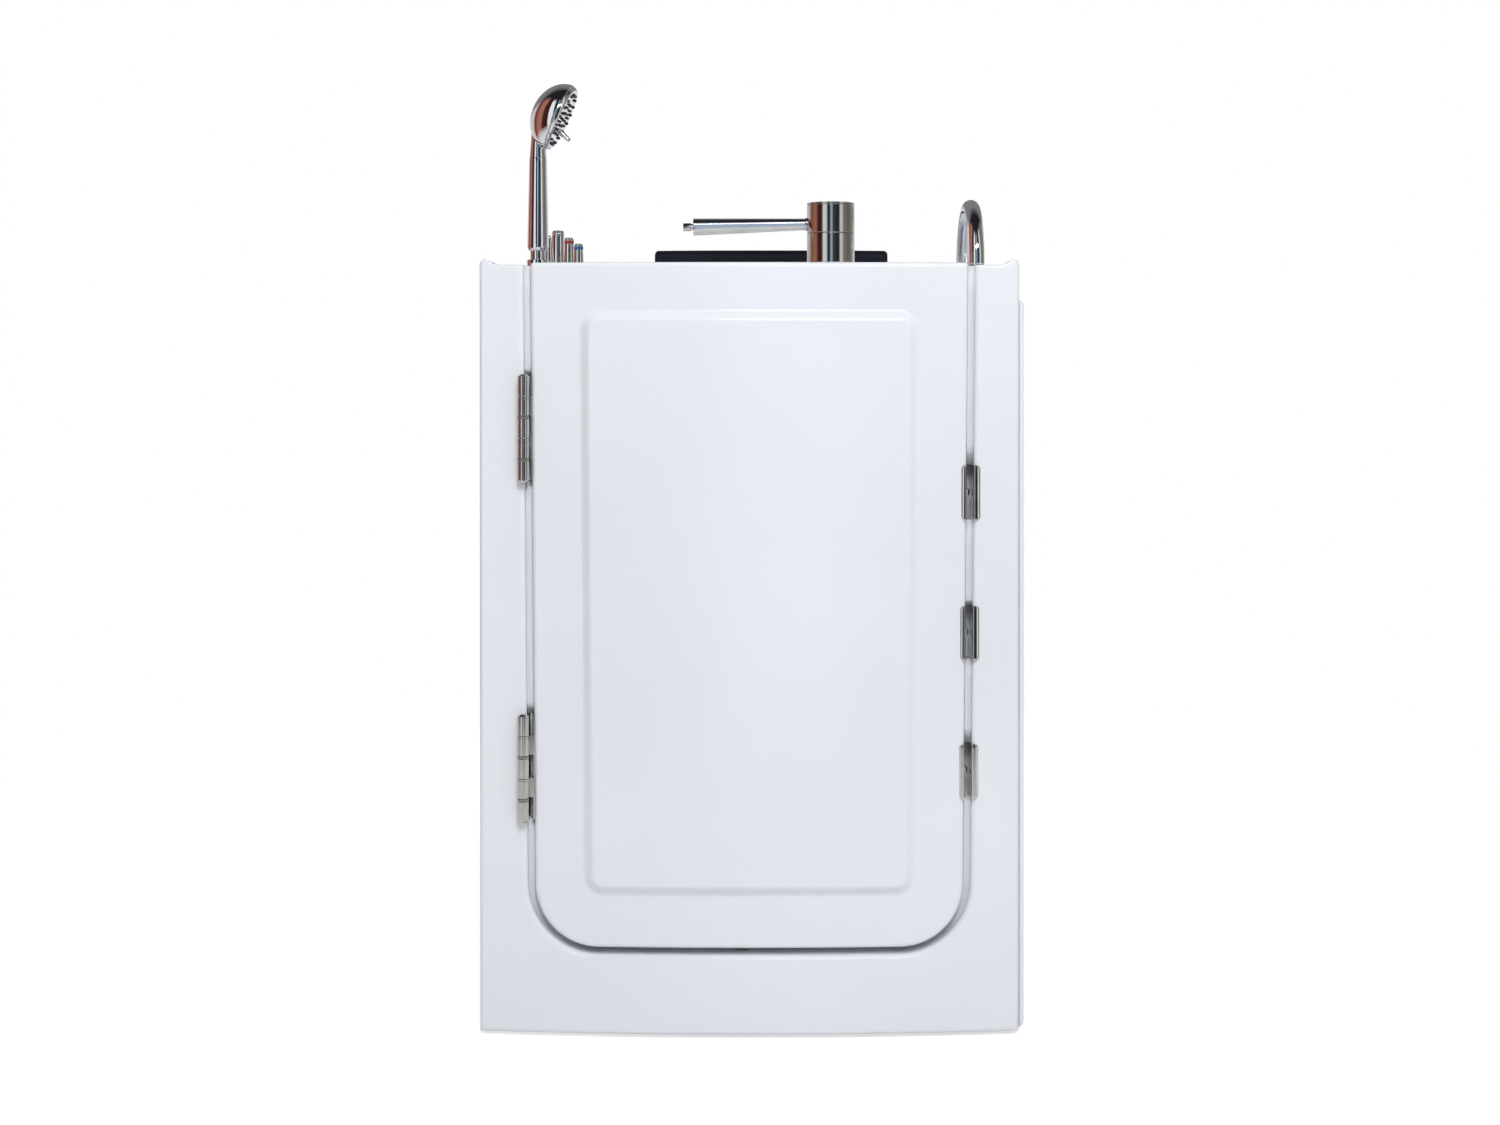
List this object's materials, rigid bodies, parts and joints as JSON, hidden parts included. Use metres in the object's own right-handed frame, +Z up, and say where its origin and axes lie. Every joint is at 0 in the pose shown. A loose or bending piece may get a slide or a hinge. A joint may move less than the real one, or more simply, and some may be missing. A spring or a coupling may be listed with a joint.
{
  "type": "walk-in bathtub",
  "caption": "Walk-in soaking bathtub with a full-height hinged door in its narrow end, side skirt, hand shower, taps and grab bar.",
  "frame": {"origin": "on the floor, in the middle of the whole bathtub's outline", "axes": "+Z up, -Y out of the door end, +X to the right seen from outside the door"},
  "size_m": [0.6934, 1.2009, 1.2272],
  "materials": {
    "gelcoat": "glossy gelcoat",
    "steel": "brushed stainless",
    "chrome": "polished chrome",
    "seal_rubber": "matt silicone",
    "nozzle_rubber": "matt silicone",
    "washer_bronze": "satin",
    "black_plastic": "moulded nylon",
    "copper": "drawn copper tube",
    "waste_plastic": "satin",
    "red_mark": "gloss",
    "blue_mark": "gloss",
    "headrest_foam": "soft skinned foam"
  },
  "bodies": {
    "tub": {"tub_shell": "gelcoat", "front_surround": "gelcoat", "side_skirt": "gelcoat", "skirt_screws": "chrome", "support_frame": "steel", "leveling_feet": "steel", "foot_lock_nuts": "steel", "hinge_frame_leaves": "steel", "hinge_pins": "steel", "hinge_washers": "washer_bronze", "hinge_screws": "steel", "keeper_plates": "chrome", "weep_grommet": "steel", "doorway_strips": "seal_rubber", "shower_holder": "chrome", "tap_bodies": "chrome", "supply_pipes": "copper", "tub_spout": "chrome", "drain_lever_base": "chrome", "drain_body": "chrome", "overflow_plate": "chrome", "waste_pipe": "waste_plastic", "grab_bar": "chrome", "grab_flanges": "chrome", "headrest": "headrest_foam"},
    "door": {"door_outer_skin": "gelcoat", "door_inner_skin": "gelcoat", "door_seal": "seal_rubber", "hinge_door_leaves": "steel", "door_hinge_screws": "steel", "latch_plates": "chrome", "bolt_guides": "black_plastic", "shaft_bearings": "black_plastic", "lever_base": "steel"},
    "lever": {"lock_shaft": "steel", "lock_cranks": "steel", "lever_head": "steel", "lever_cap": "steel", "lever_arm": "chrome", "lever_tip": "chrome"},
    "upper_bolt": {"bolt_upper": "steel"},
    "middle_bolt": {"bolt_middle": "steel"},
    "lower_bolt": {"bolt_lower": "steel"},
    "diverter": {"diverter_knob": "chrome"},
    "hot_tap": {"hot_knob": "chrome", "hot_ring": "red_mark"},
    "cold_tap": {"cold_knob": "chrome", "cold_ring": "blue_mark"},
    "handset": {"shower_handle": "chrome", "shower_head": "chrome"},
    "spray": {"spray_face": "chrome", "spray_nozzles": "nozzle_rubber"},
    "waste_lever": {"drain_lever": "chrome"},
    "plug": {"drain_plug": "chrome"}
  },
  "joints": [
    {"name": "door_swing", "type": "hinge", "parent": "tub", "child": "door", "pos_m": [-0.28875, -0.59041, 0.556], "axis": [0, 0, -1], "range_deg": [0, 110]},
    {"name": "lock_lever_turn", "type": "hinge", "parent": "door", "child": "lever", "pos_m": [0.10025, -0.5545, 1], "axis": [0, 0, 1], "range_deg": [0, 60]},
    {"name": "upper_bolt_slide", "type": "slide", "parent": "door", "child": "upper_bolt", "axis": [1, 0, 0], "range_m": [0, 0.016]},
    {"name": "middle_bolt_slide", "type": "slide", "parent": "door", "child": "middle_bolt", "axis": [1, 0, 0], "range_m": [0, 0.016]},
    {"name": "lower_bolt_slide", "type": "slide", "parent": "door", "child": "lower_bolt", "axis": [1, 0, 0], "range_m": [0, 0.016]},
    {"name": "diverter_turn", "type": "hinge", "parent": "tub", "child": "diverter", "pos_m": [-0.28875, -0.2295, 0.978], "axis": [0, 0, 1], "range_deg": [-45, 45]},
    {"name": "hot_tap_turn", "type": "hinge", "parent": "tub", "child": "hot_tap", "pos_m": [-0.28875, -0.0905, 0.978], "axis": [0, 0, 1], "range_deg": [0, 90]},
    {"name": "cold_tap_turn", "type": "hinge", "parent": "tub", "child": "cold_tap", "pos_m": [-0.28875, 0.0415, 0.978], "axis": [0, 0, 1], "range_deg": [0, 90]},
    {"name": "handset_lift", "type": "slide", "parent": "tub", "child": "handset", "axis": [0, 0, 1], "range_m": [0, 0.3]},
    {"name": "spray_turn", "type": "hinge", "parent": "handset", "child": "spray", "pos_m": [-0.25955, -0.4495, 1.1818], "axis": [0.9041, 0, -0.4274], "range_deg": [-60, 60]},
    {"name": "drain_lever_tilt", "type": "hinge", "parent": "tub", "child": "waste_lever", "pos_m": [-0.28875, -0.3315, 0.988], "axis": [1, 0, 0], "range_deg": [0, 35]},
    {"name": "drain_plug_lift", "type": "slide", "parent": "tub", "child": "plug", "axis": [0, 0, 1], "range_m": [0, 0.0101]}
  ],
  "couplings": [
    {"joint": "upper_bolt_slide", "follows": "lock_lever_turn", "m_per_rad": 0.015278},
    {"joint": "middle_bolt_slide", "follows": "lock_lever_turn", "m_per_rad": 0.015278},
    {"joint": "lower_bolt_slide", "follows": "lock_lever_turn", "m_per_rad": 0.015278},
    {"joint": "drain_plug_lift", "follows": "drain_lever_tilt", "m_per_rad": 0.01637}
  ]
}
